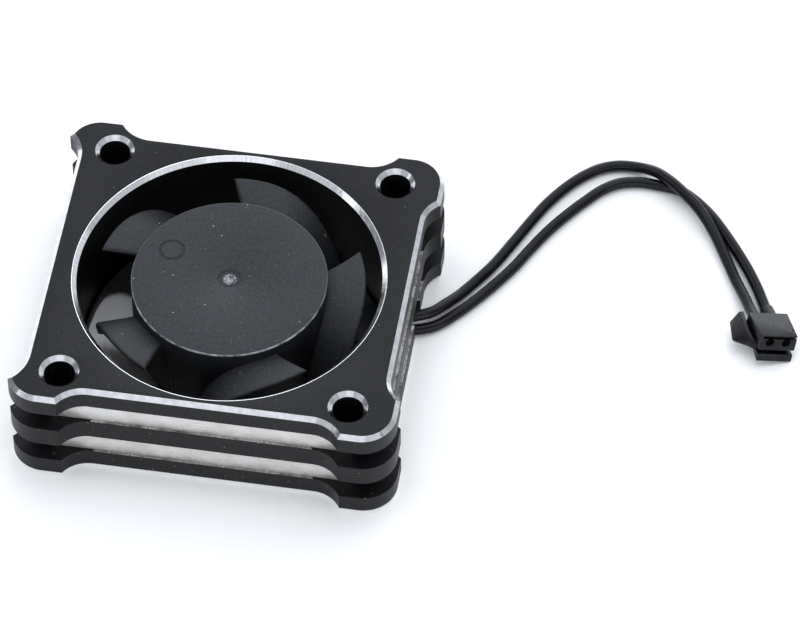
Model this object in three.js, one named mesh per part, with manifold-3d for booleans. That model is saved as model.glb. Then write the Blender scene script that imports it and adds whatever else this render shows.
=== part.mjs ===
// Axial cooling fan, 30 x 30 x 10 mm, in a finned aluminium case, with a two-wire lead and a plug.
// Millimetres, +Z up. The origin is on the bore's axis, at the plane of the case's bottom face.

import * as THREE from 'three';
import * as BufferGeometryUtils from 'three/addons/utils/BufferGeometryUtils.js';
import Module from 'manifold-3d';

const wasm = await Module();
wasm.setup();

// ---------------------------------------------------------------- driving dimensions

const LAYER = 2;                       // each fin and each groove is this tall
const HEIGHT = 5 * LAYER;              // fin, groove, fin, groove, fin
const EDGE = 0.36;                     // turned and milled 45 degree edges of the end faces
const HOLE_PITCH = 24;
const HOLE_R = 1.3;
const BORE_R = 12.72;
const LIP_R = 12.45;                   // flange at the bottom of the bore
const LIP_TOP = 0.3;

// Fin outline: half sizes at the corner lobes and at the waists between them.
const LOBE = { x: 16.1, y: 15.18, r: 2.86 };
const WAIST = { x: 15.0, y: 13.81 };
const NOTCH_FRONT = { at: 9.28, r: 2.74 };   // where the waist ends, and the arc up to the lobe
const NOTCH_RIGHT = { at: 8.4, r: 2.59 };
const NOTCH_LEFT = { at: 10.7, r: 3.34 };
const GROOVE_DEPTH = 0.26;             // groove floors, inside the waists
const GROOVE_CORNER_R = 1.55;
const OUTLET = { length: 6, width: 2.6, middle: 14 };   // where the lead passes under the wall

const HUB = { r: 8.2, bottom: 2.6, top: 9.7, edge: 0.13, gate: 0.95, dish: 0.15 };
const BLADES = 5;
// Each row is a blade's centre line at one radius; between the two everything changes evenly.
// It falls from `top` by `drop` over `sweep` degrees, as the given power of the way along.
const BLADE = { thick: 0.5, power: 3.2, root: HUB.r - 0.25 };
const BLADE_ROWS = [
  { r: 8.2, lead: 19.0, top: 8.42, drop: 6.2, sweep: 48 },
  { r: 11.35, lead: 25.2, top: 8.98, drop: 6.78, sweep: 54 },
];

// Motor base: one plate with three openings between a rim, a disc and three struts.
const PLATE = { bottom: 0.3, top: 0.95, outer: 12.6, rim: 12.4, disc: 7.4 };
const OPENING = { outerFillet: 1.6, innerFillet: 0.8 };
const STRUTS = [{ angle: 18, half: 1.95 }, { angle: 148, half: 1.45 }, { angle: 265, half: 1.45 }];
const LEAD_STRUT = { angle: 18, width: 3.9, from: 6, top: 1.7, channel: 2.8, roof: 1.35 };
const COLLAR = { outer: 3.15, top: 1.6 };
const POST = { r: 0.45, at: 5.9, angles: [78, 205, 318] };      // they carry the circuit board

const TUBE = { inner: 2.06, outer: 2.55, bottom: 0.95, top: 6.9 };
const BEARING = { bore: 0.76, inner: 1.05, outerIn: 1.6, outer: 2.02, height: 2.0, lower: 1.62, upper: 4.7 };
const BALL = { r: 0.24, pitchR: 1.325, count: 7 };
const SHAFT = { r: 0.72, bottom: 1.05, top: 8.78 };

const BOARD = { inner: 3.3, outer: 6.9, bottom: 1.75, top: 2.3 };
const CORE = { bottom: 3.55, top: 6.05, bore: 2.6, ring: 3.4, tooth: 1.1, shoeIn: 5.35, shoeOut: 6.2, shoeSpan: 66 };
const INSULATOR = 0.25;
const COIL = { inner: 3.75, outer: 5.1, thick: 0.6, gap: 0.3, above: 0.1 };
const CHIP = { width: 1.6, depth: 2.0, height: 0.55, x: 0.4, y: -4.75 };
const CAPACITOR = { width: 0.7, depth: 1.3, height: 0.5, x: -5.2, y: 1.2 };
const LABEL = { r: 6.6, thick: 0.12 };
const MAGNET = { inner: 6.6, outer: 7.2, bottom: 3.1, top: 7.6 };
const YOKE = { inner: 7.25, outer: 7.6, bottom: 2.9, top: 8.8, sheet: 0.35, hole: 1.56 };
const BUSHING = { r: 1.5, bottom: 7.3, top: 8.75 };

const WIRE_R = 0.475;

// ---------------------------------------------------------------- materials

const paint = (color, roughness, metalness) => new THREE.MeshStandardMaterial({ color, roughness, metalness });
const anodised = paint(0x2d2e33, 0.45, 0.6);
const blackPlastic = paint(0x3c3e42, 0.65, 0);
const darkPlastic = paint(0x242529, 0.6, 0);
const wireSkin = paint(0x1f2024, 0.5, 0);
const steel = paint(0xb9bcc2, 0.3, 1);
const siliconSteel = paint(0x6d7075, 0.5, 0.8);
const brass = paint(0xc8a452, 0.35, 1);
const copper = paint(0xb5683a, 0.4, 0.8);
const ferrite = paint(0x333236, 0.7, 0.1);
const boardGreen = paint(0x1f5a36, 0.5, 0);
const nylon = paint(0xd8d4c8, 0.6, 0);
const chipBlack = paint(0x17181a, 0.5, 0);
const ceramic = paint(0xa8875e, 0.5, 0);
const paper = paint(0xc9ccd0, 0.4, 0.3);
const tin = paint(0xc9c6bb, 0.35, 0.9);

// ---------------------------------------------------------------- solids

const rad = THREE.MathUtils.degToRad;
const V2 = (x, y) => new THREE.Vector2(x, y);
const V3 = (x, y, z) => new THREE.Vector3(x, y, z);
const polar = (r, degrees) => V2(r * Math.cos(rad(degrees)), r * Math.sin(rad(degrees)));

// Positions only, shared vertices merged, faces pointing out.
function closed(geometry) {
  let g = geometry.clone();
  g.deleteAttribute('normal');
  g.deleteAttribute('uv');
  g = BufferGeometryUtils.mergeVertices(g, 1e-5);
  const p = g.attributes.position;
  const kept = [];
  let volume = 0;
  const [a, b, c] = [V3(), V3(), V3()];
  for (let i = 0; i < g.index.count; i += 3) {
    const t = [g.index.getX(i), g.index.getX(i + 1), g.index.getX(i + 2)];
    if (t[0] === t[1] || t[1] === t[2] || t[2] === t[0]) continue;
    a.fromBufferAttribute(p, t[0]);
    b.fromBufferAttribute(p, t[1]);
    c.fromBufferAttribute(p, t[2]);
    volume += a.dot(b.cross(c));
    kept.push(t);
  }
  g.setIndex(kept.flatMap((t) => (volume < 0 ? [t[0], t[2], t[1]] : t)));
  return g;
}

function solid(geometry) {
  const g = closed(geometry);
  const vertProperties = new Float32Array(g.attributes.position.array);
  return new wasm.Manifold(new wasm.Mesh({ numProp: 3, vertProperties, triVerts: new Uint32Array(g.index.array) }));
}

function geometryOf(manifold) {
  const mesh = manifold.getMesh();
  const g = new THREE.BufferGeometry();
  g.setAttribute('position', new THREE.BufferAttribute(new Float32Array(mesh.vertProperties), 3));
  g.setIndex([...mesh.triVerts]);
  return g;
}

const join = (...parts) => geometryOf(parts.map(solid).reduce((all, part) => all.add(part)));

function cut(body, ...tools) {
  return geometryOf(tools.map(solid).reduce((left, tool) => left.subtract(tool), solid(body)));
}

// A profile of [radius, height] pairs turned about Z.
function turned(profile, segments = 48) {
  const points = profile.map(([r, z]) => V2(r, z));
  if (profile[0][0] > 0) points.push(points[0].clone());
  return new THREE.LatheGeometry(points, segments).rotateX(Math.PI / 2);
}

const tube = (rIn, rOut, z0, z1, segments) => turned([[rIn, z0], [rOut, z0], [rOut, z1], [rIn, z1]], segments);
const rod = (r, z0, z1, segments) => turned([[0, z0], [r, z0], [r, z1], [0, z1]], segments);

function box(width, depth, z0, z1, x = 0, y = 0) {
  return new THREE.BoxGeometry(width, depth, z1 - z0).translate(x, y, (z0 + z1) / 2);
}

function prism(points, z0, z1) {
  const options = { depth: z1 - z0, bevelEnabled: false, steps: 1 };
  return new THREE.ExtrudeGeometry(new THREE.Shape(points), options).translate(0, 0, z0);
}

// Level rings of matching points, one above the other, closed at both ends.
function stacked(levels) {
  const n = levels[0].points.length;
  const position = levels.flatMap(({ points, z }) => points.flatMap((p) => [p.x, p.y, z]));
  const index = [];
  for (let k = 0; k + 1 < levels.length; k++) {
    for (let i = 0; i < n; i++) {
      const [a, b] = [k * n + i, k * n + ((i + 1) % n)];
      index.push(a, b, b + n, a, b + n, a + n);
    }
  }
  const last = (levels.length - 1) * n;
  for (const [a, b, c] of THREE.ShapeUtils.triangulateShape(levels[0].points, [])) index.push(a, c, b);
  for (const [a, b, c] of THREE.ShapeUtils.triangulateShape(levels.at(-1).points, [])) {
    index.push(last + a, last + b, last + c);
  }
  const g = new THREE.BufferGeometry();
  g.setAttribute('position', new THREE.Float32BufferAttribute(position, 3));
  return g.setIndex(index);
}

function arc(centre, r, from, to, steps) {
  return Array.from({ length: steps + 1 }, (_, i) => polar(r, from + ((to - from) * i) / steps).add(centre));
}

function wire(points, r, steps) {
  const section = new THREE.Shape(arc(V2(0, 0), r, 0, 315, 7));
  const path = new THREE.CatmullRomCurve3(points.map((p) => V3(...p)), false, 'centripetal');
  return new THREE.ExtrudeGeometry(section, { steps, extrudePath: path, bevelEnabled: false });
}

// ---------------------------------------------------------------- case

const LOBE_STEPS = 6;
const NOTCH_STEPS = 4;

// One concave arc, from the end of the waist to where it breaks the lobe, in the plane of a
// waist that runs along +u, v being the way out. Returns [u, v] pairs.
function notch({ at, r }, waist, reach, inset) {
  const radius = r + inset;
  const centre = V2(at, waist + r);
  const end = THREE.MathUtils.radToDeg(Math.asin((reach - inset - centre.y) / radius));
  return arc(centre, radius, -90, end, NOTCH_STEPS);
}

// Left corner lobe: an arc whose lower end meets the left notch at the outline's full width.
function leftLobe(inset) {
  const centreNotch = V2(-(WAIST.x + NOTCH_LEFT.r), NOTCH_LEFT.at);
  const dx = -LOBE.x - centreNotch.x;
  const meetY = centreNotch.y + Math.sqrt(NOTCH_LEFT.r ** 2 - dx ** 2);
  const cy = LOBE.y - LOBE.r;
  const centre = V2(-LOBE.x + Math.sqrt(LOBE.r ** 2 - (meetY - cy) ** 2), cy);
  const [r0, r1] = [NOTCH_LEFT.r + inset, LOBE.r - inset];
  const d = centre.clone().sub(centreNotch);
  const along = (r0 ** 2 - r1 ** 2 + d.lengthSq()) / (2 * d.length());
  const away = Math.sqrt(r0 ** 2 - along ** 2);
  const unit = d.normalize();
  const meet = centreNotch.clone().addScaledVector(unit, along).add(V2(-unit.y, unit.x).multiplyScalar(away));
  const fromNotch = THREE.MathUtils.radToDeg(Math.atan2(meet.y - centreNotch.y, meet.x - centreNotch.x));
  const fromLobe = THREE.MathUtils.radToDeg(Math.atan2(meet.y - centre.y, meet.x - centre.x));
  return {
    lobe: arc(centre, r1, 90, (fromLobe + 360) % 360, LOBE_STEPS),
    notch: arc(centreNotch, r0, fromNotch, 0, NOTCH_STEPS),
  };
}

// The back half of a fin's outline, from the right waist round to the left one, then its mirror.
function finOutline(inset) {
  const right = notch(NOTCH_RIGHT, WAIST.x, LOBE.x, inset).map((p) => V2(p.y, p.x));
  const corner = V2(LOBE.x - LOBE.r, LOBE.y - LOBE.r);
  const lobe = arc(corner, LOBE.r - inset, 0, 90, LOBE_STEPS);
  const back = notch(NOTCH_FRONT, WAIST.y, LOBE.y, inset);
  const left = leftLobe(inset);
  const half = [
    ...right, ...lobe, ...[...back].reverse(), ...back.map((p) => V2(-p.x, p.y)), ...left.lobe, ...left.notch.slice(1),
  ];
  return [...half, ...[...half].reverse().map((p) => V2(p.x, -p.y))];
}

function grooveOutline() {
  const [x, y] = [WAIST.x - GROOVE_DEPTH, WAIST.y - GROOVE_DEPTH];
  const r = GROOVE_CORNER_R;
  const corners = [[1, 1, 0], [-1, 1, 90], [-1, -1, 180], [1, -1, 270]];
  return corners.flatMap(([sx, sy, from]) => arc(V2(sx * (x - r), sy * (y - r)), r, from, from + 90, 3));
}

function screwHole(x, y) {
  const wide = HOLE_R + EDGE + 1;
  const profile = [
    [0, -1], [wide, -1], [HOLE_R, EDGE], [HOLE_R, HEIGHT - EDGE], [wide, HEIGHT + 1], [0, HEIGHT + 1],
  ];
  return turned(profile, 16).translate(x, y, 0);
}

function caseBody() {
  const fin = (z0, z1) => stacked([{ points: finOutline(0), z: z0 }, { points: finOutline(0), z: z1 }]);
  const bottom = stacked([
    { points: finOutline(EDGE), z: 0 }, { points: finOutline(0), z: EDGE }, { points: finOutline(0), z: LAYER },
  ]);
  const top = stacked([
    { points: finOutline(0), z: HEIGHT - LAYER }, { points: finOutline(0), z: HEIGHT - EDGE },
    { points: finOutline(EDGE), z: HEIGHT },
  ]);
  const core = prism(grooveOutline(), LAYER / 2, HEIGHT - LAYER / 2);
  const bore = turned([
    [0, -1], [LIP_R, -1], [LIP_R, LIP_TOP], [BORE_R, LIP_TOP], [BORE_R, HEIGHT - EDGE],
    [BORE_R + EDGE + 1, HEIGHT + 1], [0, HEIGHT + 1],
  ], 72);
  const outlet = box(OUTLET.length, OUTLET.width, -1, LAYER, OUTLET.middle).rotateZ(rad(LEAD_STRUT.angle));
  const holes = [-1, 1].flatMap((x) => [-1, 1].map((y) => screwHole((x * HOLE_PITCH) / 2, (y * HOLE_PITCH) / 2)));
  return cut(join(bottom, core, fin(2 * LAYER, 3 * LAYER), top), bore, outlet, ...holes);
}

// ---------------------------------------------------------------- motor base

const CORNER_STEPS = 4;
const RIM_STEPS = 18;
const CHANNEL = { from: 5, length: 8.4 };   // the lead's way out, under the lead strut

// One opening, between the strut at `from` and the next one round at `to`, with rounded corners.
function opening(from, to) {
  const { outerFillet: f, innerFillet: g } = OPENING;
  const points = [];
  for (const [strut, side] of [[from, 1], [to, -1]]) {
    const outOff = strut.half + f;
    const inOff = strut.half + g;
    const corners = [
      { at: V2(Math.sqrt((PLATE.disc + g) ** 2 - inOff ** 2), inOff), r: g, start: null },
      { at: V2(Math.sqrt((PLATE.rim - f) ** 2 - outOff ** 2), outOff), r: f, start: -90 },
    ];
    const [inner, outer] = corners;
    const toDisc = THREE.MathUtils.radToDeg(Math.atan2(-inner.at.y, -inner.at.x));
    const toRim = THREE.MathUtils.radToDeg(Math.atan2(outer.at.y, outer.at.x));
    const half = [
      ...arc(inner.at, inner.r, toDisc, -90, CORNER_STEPS), ...arc(outer.at, outer.r, outer.start, toRim, CORNER_STEPS),
    ];
    const placed = half.map((p) => V2(p.x, side * p.y).rotateAround(V2(0, 0), rad(strut.angle)));
    points.push(...(side > 0 ? placed : placed.reverse()));
  }
  return points;
}

// The rim's and the disc's arcs join the corners of an opening.
function openingTool(from, to) {
  const corners = opening(from, to);
  const half = corners.length / 2;
  const angleOf = (p) => THREE.MathUtils.radToDeg(Math.atan2(p.y, p.x));
  const between = (r, a, b, turn) => {
    const start = angleOf(a);
    const sweep = turn * ((turn * (angleOf(b) - start) + 720) % 360);
    return arc(V2(0, 0), r, start, start + sweep, RIM_STEPS).slice(1, -1);
  };
  const outline = [
    ...corners.slice(0, half), ...between(PLATE.rim, corners[half - 1], corners[half], 1),
    ...corners.slice(half), ...between(PLATE.disc, corners.at(-1), corners[0], -1),
  ];
  return prism(outline, PLATE.bottom - 1, PLATE.top + 1);
}

function motorBase() {
  const plate = rod(PLATE.outer, PLATE.bottom, PLATE.top, 72);
  const openings = STRUTS.map((strut, i) => openingTool(strut, STRUTS[(i + 1) % STRUTS.length]));
  const { angle, from, width, top, channel, roof } = LEAD_STRUT;
  const reach = PLATE.rim + 0.1 - from;
  const hump = box(reach, width, PLATE.bottom, top, from + reach / 2).rotateZ(rad(angle));
  const foot = PLATE.top - 0.2;
  const collar = tube(TUBE.outer + 0.05, COLLAR.outer, foot, COLLAR.top, 24);
  const posts = POST.angles.map((degrees) => {
    const at = polar(POST.at, degrees);
    return rod(POST.r, foot, BOARD.bottom, 8).translate(at.x, at.y, 0);
  });
  const under = box(CHANNEL.length, channel, -1, roof, CHANNEL.from + CHANNEL.length / 2).rotateZ(rad(angle));
  return cut(join(cut(plate, ...openings), hump, collar, ...posts), under);
}

// ---------------------------------------------------------------- bearings and shaft

const bearingRing = (rIn, rOut, z) => tube(rIn, rOut, z, z + BEARING.height, 20);

function ballCage(z) {
  const middle = z + BEARING.height / 2;
  const ring = tube(1.22, 1.43, middle - 0.12, middle + 0.12, 14);
  const balls = Array.from({ length: BALL.count }, (_, i) => {
    const at = polar(BALL.pitchR, (360 * i) / BALL.count);
    return new THREE.SphereGeometry(BALL.r, 7, 5).translate(at.x, at.y, middle);
  });
  return join(ring, ...balls);
}

function shaft() {
  const [groove, z] = [0.5, 1.25];
  return turned([
    [0, SHAFT.bottom], [SHAFT.r, SHAFT.bottom], [SHAFT.r, z], [groove, z], [groove, z + 0.3], [SHAFT.r, z + 0.3],
    [SHAFT.r, SHAFT.top], [0, SHAFT.top],
  ], 16);
}

// A split washer that snaps into the shaft's groove.
function retainingClip() {
  const outline = [...arc(V2(0, 0), 1.15, 30, 330, 14), ...arc(V2(0, 0), 0.53, 330, 30, 10)];
  return prism(outline, 1.32, 1.5);
}

function preloadSpring() {
  const [r, turns, low, high] = [1.0, 2, BEARING.upper + BEARING.height + 0.12, BUSHING.bottom - 0.12];
  const steps = 24;
  const points = Array.from({ length: steps + 1 }, (_, i) => {
    const at = polar(r, (360 * turns * i) / steps);
    return [at.x, at.y, low + ((high - low) * i) / steps];
  });
  return wire(points, 0.06, 26);
}

// ---------------------------------------------------------------- stator and board

const TEETH = [0, 90, 180, 270];

// A small component on the board's lower side.
const under = ({ width, depth, height, x, y }) => box(width, depth, BOARD.bottom - height, BOARD.bottom, x, y);

function coreOutline(grow, z0, z1) {
  const shoeSpan = CORE.shoeSpan + grow * 10;
  const ring = tube(CORE.bore, CORE.ring + grow, z0, z1, 28);
  const teeth = TEETH.map((angle) => {
    const tooth = box(CORE.shoeIn - 2.9, CORE.tooth + 2 * grow, z0, z1, (CORE.shoeIn + 0.1 + 2.9) / 2);
    return tooth.rotateZ(rad(angle));
  });
  const shoes = TEETH.map((angle) => {
    const [from, to] = [angle - shoeSpan / 2, angle + shoeSpan / 2];
    const points = [...arc(V2(0, 0), CORE.shoeOut, from, to, 6), ...arc(V2(0, 0), CORE.shoeIn, to, from, 6)];
    return prism(points, z0, z1);
  });
  return join(ring, ...teeth, ...shoes);
}

// Copper wound round one tooth: a square-cornered loop that the tooth passes through.
function coil(angle) {
  const insideHalf = CORE.tooth / 2 + COIL.gap;
  const insideLow = CORE.bottom - INSULATOR - COIL.above;
  const insideHigh = CORE.top + INSULATOR + COIL.above;
  const length = COIL.outer - COIL.inner;
  const middle = (COIL.outer + COIL.inner) / 2;
  const outer = box(length, 2 * (insideHalf + COIL.thick), insideLow - COIL.thick, insideHigh + COIL.thick, middle);
  const inner = box(length + 1, 2 * insideHalf, insideLow, insideHigh, middle);
  return cut(outer, inner).rotateZ(rad(angle));
}

// ---------------------------------------------------------------- rotor

// A curved blade: level at its leading edge, falling ever faster towards its trailing edge.
function blade(turn) {
  const [across, along] = [3, 9];
  const [root, tip] = BLADE_ROWS;
  const rows = [];
  for (const side of [1, -1]) {
    for (let i = 0; i <= along; i++) {
      const t = i / along;
      for (let j = 0; j <= across; j++) {
        const r = BLADE.root + ((tip.r - BLADE.root) * j) / across;
        const part = (key) => root[key] + ((tip[key] - root[key]) * (r - root.r)) / (tip.r - root.r);
        const slope = (BLADE.power * part('drop') * t ** (BLADE.power - 1)) / (rad(part('sweep')) * r);
        const tilt = Math.atan(slope);
        const half = (side * BLADE.thick) / 2;
        const back = THREE.MathUtils.radToDeg((half * Math.sin(tilt)) / r);
        const at = polar(r, turn + part('lead') - part('sweep') * t - back);
        rows.push(at.x, at.y, part('top') - part('drop') * t ** BLADE.power + half * Math.cos(tilt));
      }
    }
  }
  const [width, sheet] = [across + 1, (along + 1) * (across + 1)];
  const index = [];
  const quad = (a, b, c, d) => index.push(a, b, c, a, c, d);
  for (let i = 0; i < along; i++) {
    for (let j = 0; j < across; j++) {
      const a = i * width + j;
      quad(a, a + 1, a + width + 1, a + width);
      quad(sheet + a, sheet + a + width, sheet + a + width + 1, sheet + a + 1);
    }
    const [inner, outer] = [i * width, i * width + across];
    quad(inner, inner + width, sheet + inner + width, sheet + inner);
    quad(outer, sheet + outer, sheet + outer + width, outer + width);
  }
  for (let j = 0; j < across; j++) {
    const end = along * width + j;
    quad(j, sheet + j, sheet + j + 1, j + 1);
    quad(end, end + 1, sheet + end + 1, sheet + end);
  }
  const g = new THREE.BufferGeometry();
  g.setAttribute('position', new THREE.Float32BufferAttribute(rows, 3));
  return g.setIndex(index);
}

function impeller() {
  const [wallR, ceiling] = [YOKE.outer + 0.05, YOKE.top + 0.02];
  const { r, bottom, top, edge, gate, dish } = HUB;
  const shell = turned([
    [0, ceiling], [wallR, ceiling], [wallR, bottom], [r, bottom], [r, top - edge],
    [r - 0.3 * edge, top - 0.3 * edge], [r - edge, top], [gate, top], [gate - 0.1, top - 0.8 * dish], [0, top - dish],
  ], 56);
  const blades = Array.from({ length: BLADES }, (_, i) => blade((360 * i) / BLADES));
  return join(shell, ...blades);
}

function rotorYoke() {
  const { inner, outer, bottom, top, sheet, hole } = YOKE;
  return turned([
    [hole, top - sheet], [inner, top - sheet], [inner, bottom], [outer, bottom], [outer, top - 0.1],
    [outer - 0.1, top], [hole, top],
  ], 48);
}

// ---------------------------------------------------------------- lead

// Both leads start under the board, leave by the outlet one above the other and lie on the ground.
const LEAD_1 = [
  [5.22, 2.38, 0.84], [6.93, 2.94, 0.8], [9.31, 3.71, 0.76], [11.61, 4.4, 0.82], [13.6, 4.75, 1.24],
  [14.9, 4.98, 1.44], [16.1, 5.75, 1.25], [17.05, 7.1, 0.83], [18.05, 8.55, 0.52], [19.45, 10.65, 0.5],
  [20.41, 12.25, 0.5], [21.71, 15.0, 0.5], [22.95, 17.7, 0.5], [23.89, 19.59, 0.5], [25.31, 21.74, 0.5],
  [26.6, 23.2, 0.5], [27.9, 24.22, 0.5], [29.41, 24.79, 0.5], [31.2, 24.72, 0.66], [32.72, 23.98, 1.22],
  [34.15, 22.88, 1.52], [35.52, 21.66, 1.54], [36.98, 20.3, 1.28], [38.38, 18.55, 0.8], [39.95, 15.7, 0.55],
  [40.99, 13.62, 0.55], [41.56, 12.56, 0.65], [42.08, 11.5, 0.82], [42.6, 10.3, 1.04], [43.05, 9.3, 1.36],
  [43.35, 8.62, 1.56],
];
const LEAD_2 = [
  [5.62, 1.14, 0.84], [7.33, 1.7, 0.8], [9.71, 2.47, 0.72], [11.98, 3.26, 0.6], [13.6, 3.85, 0.52],
  [15.1, 4.28, 0.5], [16.45, 4.86, 0.5], [17.98, 6.36, 0.5], [19.8, 8.66, 0.5], [21.2, 10.72, 0.5],
  [22.2, 12.37, 0.5], [23.05, 14.06, 0.5], [24.36, 16.51, 0.5], [25.76, 18.64, 0.5], [27.1, 20.4, 0.5],
  [28.4, 21.9, 0.5], [29.8, 22.85, 0.5], [31.53, 23.22, 0.5], [33.19, 23.12, 0.5], [34.8, 22.88, 0.5],
  [36.13, 22.13, 0.5], [37.93, 20.5, 0.5], [40.04, 17.75, 0.5], [41.69, 15.25, 0.5], [42.4, 14.0, 0.5],
  [43.0, 12.85, 0.5], [43.42, 11.9, 0.52], [43.9, 10.8, 0.64], [44.35, 9.8, 0.93], [44.67, 9.07, 1.17],
];

// Plug, in its own frame: X to the side, -Y towards the mating face, Z up. It lies on the lower
// edge of its right-hand side. The wires leave its back a little to the left of the sockets.
const PLUG = { yaw: 23.4, pitch: 16.3, roll: 16, front: [45.29, 5.86, 1.3], length: 3.6, bottom: 0.2, top: 1.65 };
const PLUG_HALF = { front: 1.62, back: 1.76 };
const PLUG_LIP = { half: 1.57, low: -0.9, high: -0.14, depth: 1.3, web: 0.55, webTo: 1.2 };
const LID_GAP = { from: 0.1, to: 0.34, deep: 0.3, side: 1.35 };
const SOCKET = { pitch: 1.45, r: 0.3, z: 0.95, depth: 0.9, rearShift: -0.26, rearSize: 0.98 };
const SLEEVE = { inner: 0.49, outer: 0.6, length: 1.45 };
const WING = { back: 4.1, depth: 2.3 };
const WING_BACK = [[-1.65, -0.1], [-1.65, 0.3], [-2.0, 1.4], [-2.4, 1.36], [-3.0, 0.25], [-2.75, 0]];
const WING_FRONT = [[-1.6, -0.2], [-1.6, 0.1], [-2.0, 0.85], [-2.35, 0.8], [-3.35, -0.1], [-3.1, -0.3]];
const TERMINAL = { size: 0.5, wall: 0.1, from: 0.95, length: 2, mouth: 1.5 };

// A profile across the plug, in X and Z, swept from `back` towards the mating face.
const acrossPlug = (geometry, back) => geometry.rotateX(Math.PI / 2).translate(0, back, 0);

function plugHousing() {
  const { length, bottom, top, pitch } = PLUG;
  const { front: f, back: k } = PLUG_HALF;
  const block = prism([V2(-f, 0), V2(f, 0), V2(k, length), V2(-k, length)], bottom, top);
  const { half, low: foot, high, depth, web: webHalf, webTo } = PLUG_LIP;
  const lipProfile = [V2(0, foot), V2(0, high), V2(depth, high), V2(depth, foot + depth * Math.tan(rad(pitch)))];
  const lip = prism(lipProfile, -half, half).rotateX(Math.PI / 2).rotateZ(Math.PI / 2);
  const web = box(2 * (half - 0.3), webHalf, high - 0.2, bottom + 0.2, 0, webTo - webHalf / 2);
  const profile = (points) => points.map(([x, z]) => V2(x, z));
  const wing = stacked([{ points: profile(WING_BACK), z: 0 }, { points: profile(WING_FRONT), z: WING.depth }]);
  const gap = box(2 * LID_GAP.side, LID_GAP.to - LID_GAP.from, top - LID_GAP.deep, top + 1, 0,
    (LID_GAP.from + LID_GAP.to) / 2);
  const holes = [-1, 1].flatMap((side) => {
    const x = (side * SOCKET.pitch) / 2;
    const rear = box(SOCKET.rearSize, length + 1 - SOCKET.depth, SOCKET.z - SOCKET.rearSize / 2,
      SOCKET.z + SOCKET.rearSize / 2, x + SOCKET.rearShift, (length + 1 + SOCKET.depth) / 2);
    return [rear, acrossPlug(rod(SOCKET.r, -SOCKET.depth - 0.1, 1, 12), 0).translate(x, 0, SOCKET.z)];
  });
  const body = cut(join(block, lip, web, acrossPlug(wing, WING.back)), gap, ...holes);
  const sleeve = acrossPlug(tube(SLEEVE.inner, SLEEVE.outer, 0, SLEEVE.length + 0.3, 20), length + SLEEVE.length);
  return join(body, sleeve.translate(SOCKET.pitch / 2 + SOCKET.rearShift, 0, SOCKET.z));
}

function terminal(side) {
  const { size, wall, from, length, mouth } = TERMINAL;
  const x = (side * SOCKET.pitch + SOCKET.rearShift) / 2;
  const [low, high] = [SOCKET.z - size / 2, SOCKET.z + size / 2];
  const shell = box(size, length, low, high, x, from + length / 2);
  return cut(shell, box(size - 2 * wall, 2 * mouth, low + wall, high - wall, x, from));
}

// ---------------------------------------------------------------- assembly

const fan = new THREE.Group();

function add(name, geometry, material, group = fan) {
  const mesh = new THREE.Mesh(closed(geometry), material.clone());
  mesh.name = name;
  group.add(mesh);
}

add('case', caseBody(), anodised);
add('motor_base', motorBase(), darkPlastic);
add('bearing_tube', tube(TUBE.inner, TUBE.outer, TUBE.bottom, TUBE.top, 32), brass);

for (const [where, z] of [['lower', BEARING.lower], ['upper', BEARING.upper]]) {
  add(`bearing_outer_ring_${where}`, bearingRing(BEARING.outerIn, BEARING.outer, z), steel);
  add(`bearing_inner_ring_${where}`, bearingRing(BEARING.bore, BEARING.inner, z), steel);
  add(`ball_cage_${where}`, ballCage(z), steel);
}

add('stator_core', coreOutline(0, CORE.bottom, CORE.top), siliconSteel);
add('stator_insulator_lower', coreOutline(0.1, CORE.bottom - INSULATOR, CORE.bottom), nylon);
add('stator_insulator_upper', coreOutline(0.1, CORE.top, CORE.top + INSULATOR), nylon);
TEETH.forEach((angle, i) => add(`coil_${i + 1}`, coil(angle), copper));
add('circuit_board', tube(BOARD.inner, BOARD.outer, BOARD.bottom, BOARD.top, 40), boardGreen);
add('driver_chip', under(CHIP), chipBlack);
add('capacitor', under(CAPACITOR), ceramic);
add('base_label', rod(LABEL.r, PLATE.bottom - LABEL.thick, PLATE.bottom, 40), paper);

add('impeller', impeller(), blackPlastic);
add('rotor_yoke', rotorYoke(), steel);
add('ring_magnet', tube(MAGNET.inner, MAGNET.outer, MAGNET.bottom, MAGNET.top, 40), ferrite);
add('rotor_bushing', tube(SHAFT.r + 0.03, BUSHING.r, BUSHING.bottom, BUSHING.top, 24), brass);
add('shaft', shaft(), steel);
add('preload_spring', preloadSpring(), steel);
add('retaining_clip', retainingClip(), steel);

add('lead_wire_1', wire(LEAD_1, WIRE_R, 42), wireSkin);
add('lead_wire_2', wire(LEAD_2, WIRE_R, 42), wireSkin);

const plug = new THREE.Group();
plug.rotation.order = 'ZXY';
plug.rotation.set(rad(-PLUG.pitch), rad(PLUG.roll), rad(PLUG.yaw));
plug.position.set(...PLUG.front);
fan.add(plug);
add('connector_housing', plugHousing(), darkPlastic, plug);
add('terminal_1', terminal(-1), tin, plug);
add('terminal_2', terminal(1), tin, plug);

export default fan;
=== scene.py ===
"""Looks for the small axial fan: case, rotor, base, lead and plug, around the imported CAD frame."""

import math

import bmesh
import bpy
from mathutils import Matrix, Vector
from mathutils.geometry import tessellate_polygon


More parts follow.
